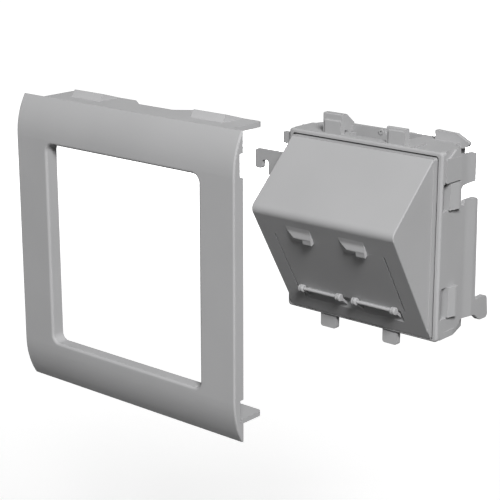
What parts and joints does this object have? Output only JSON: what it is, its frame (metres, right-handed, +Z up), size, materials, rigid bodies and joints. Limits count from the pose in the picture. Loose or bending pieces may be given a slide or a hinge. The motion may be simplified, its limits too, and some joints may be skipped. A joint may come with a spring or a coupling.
{
  "type": "angled data outlet plate",
  "caption": "Angled data outlet module for cable trunking with a wedge-shaped hood and a blank port panel, and its cover frame taken off and standing in front.",
  "frame": {"origin": "middle of the chassis's lower rear rim, on the plane that seats against the trunking", "axes": "+Y into the wall, out of the seat face; +Z up; +X to the right seen from the front"},
  "size_m": [0.0964, 0.1153, 0.0902],
  "materials": {
    "frame_plastic": "fine satin moulded plastic, mid grey",
    "chassis_plastic": "satin moulded plastic, mid grey",
    "hood_plastic": "fine satin moulded plastic, mid grey"
  },
  "bodies": {
    "root": {"cover_frame": "frame_plastic", "chassis": "chassis_plastic", "angled_hood": "hood_plastic", "port_panel": "hood_plastic"}
  },
  "joints": []
}
